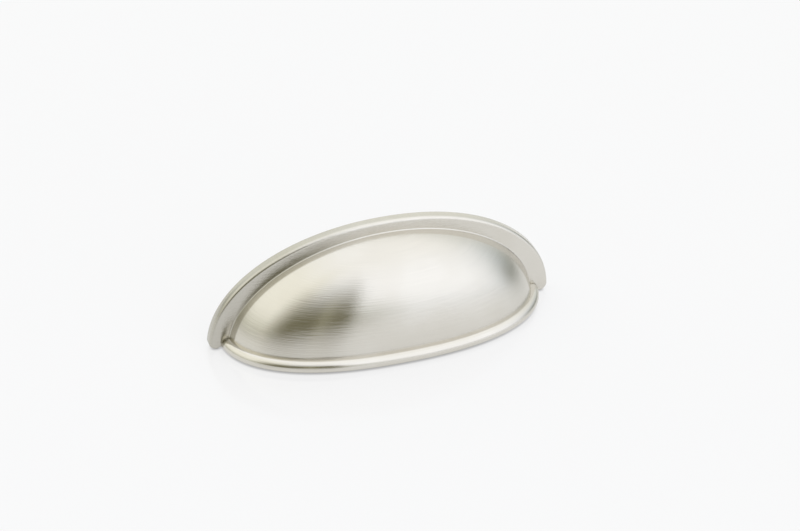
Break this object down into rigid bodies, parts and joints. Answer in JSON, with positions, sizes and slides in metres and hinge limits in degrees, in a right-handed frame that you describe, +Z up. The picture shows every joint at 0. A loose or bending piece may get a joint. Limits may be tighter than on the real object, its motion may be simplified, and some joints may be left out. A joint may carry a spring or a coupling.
{
  "type": "cup pull",
  "caption": "Drawer cup pull cast in one piece: a half-oval flange, a hollow bulging cup open below and behind, a rolled lip along its mouth, and bosses inside with tapped holes for screws.",
  "frame": {"origin": "on the mounting face, midway between the two tapped holes, 9.5 mm above the mouth", "axes": "+X along the pull, +Y out of the mounting face into the drawer front, +Z up, with the mouth facing down"},
  "size_m": [0.104, 0.0248, 0.0352],
  "materials": {
    "nickel": "satin"
  },
  "bodies": {
    "root": {"cup_pull": "nickel"}
  },
  "joints": []
}
